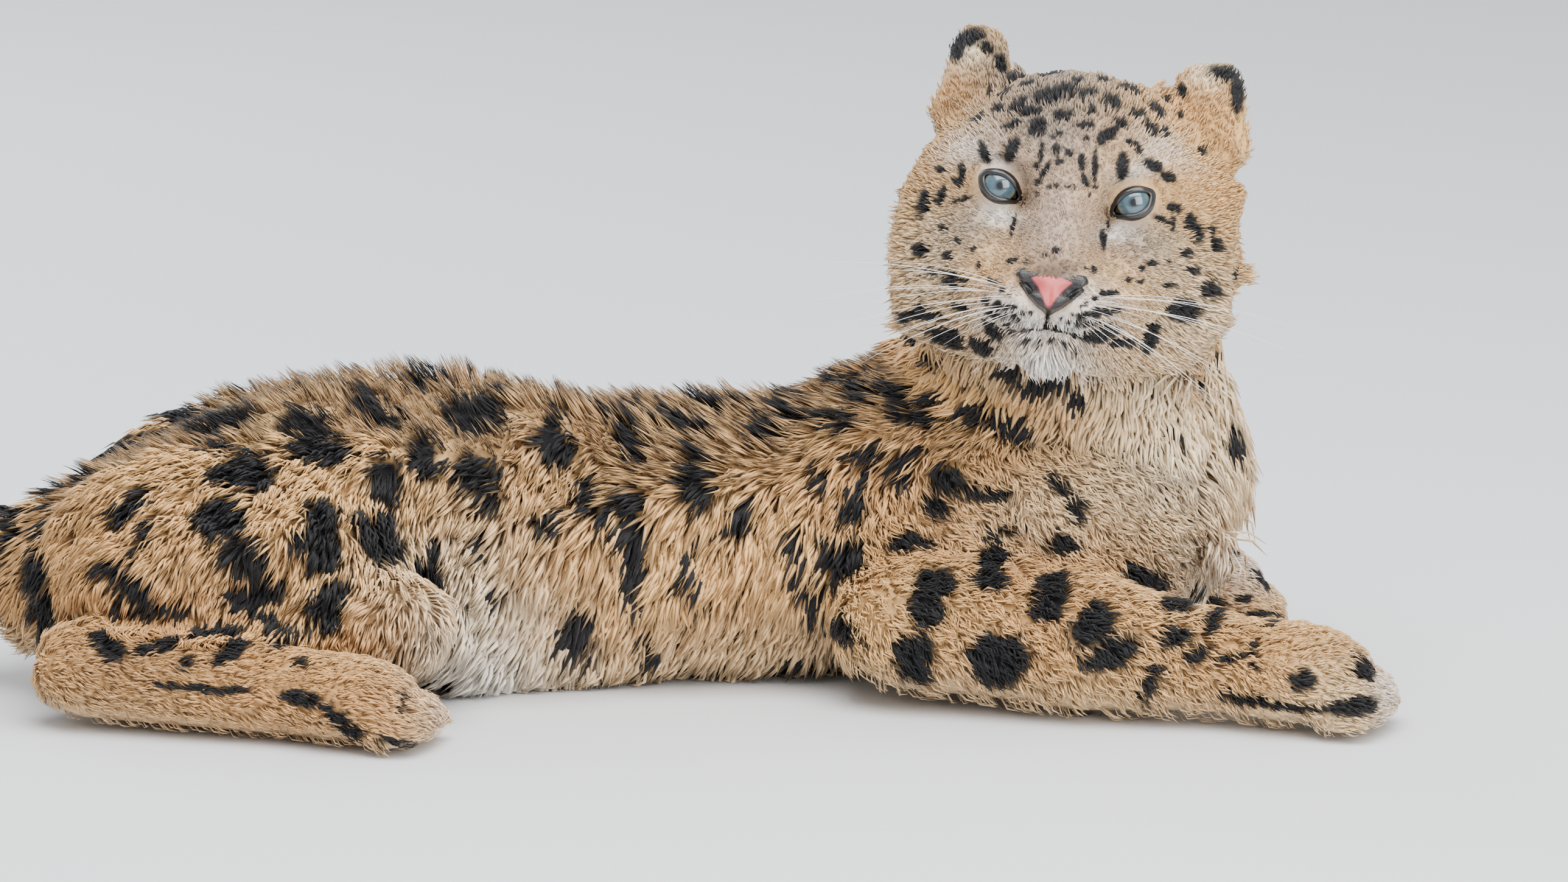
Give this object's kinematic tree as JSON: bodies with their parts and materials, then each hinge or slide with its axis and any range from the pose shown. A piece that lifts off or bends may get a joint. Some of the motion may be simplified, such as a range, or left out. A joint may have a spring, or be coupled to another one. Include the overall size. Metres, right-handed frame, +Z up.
{
  "type": "snow leopard",
  "caption": "Life-size snow leopard lying on its belly with raised head turned to the viewer, forelegs stretched forward and long tail curled behind.",
  "frame": {"origin": "on the floor under the middle of the trunk, on the flat that the belly rests on", "axes": "+X along the trunk towards the chest, +Y away from the side that the head is turned to, +Z up"},
  "size_m": [1.209, 0.6572, 0.3993],
  "materials": {
    "coat": "long dense fur, matt",
    "pale_coat": "long dense fur, matt",
    "face_coat": "short dense fur, matt",
    "nose_skin": "moist bare skin",
    "iris": "wet, clear cornea over a pale iris"
  },
  "bodies": {
    "root": {"head": "face_coat", "nose": "nose_skin", "ear_right": "coat", "ear_left": "coat", "eye_right": "iris", "eye_left": "iris", "neck": "pale_coat", "torso": "coat", "rump": "coat", "chest": "coat", "hindleg_right": "coat", "hindfoot_right": "coat", "foreleg_right": "coat", "forepaw_right": "coat", "hindleg_left": "coat", "hindfoot_left": "coat", "foreleg_left": "coat", "forepaw_left": "coat", "tail_base": "coat", "tail_middle": "coat", "tail_tip": "coat"}
  },
  "joints": []
}
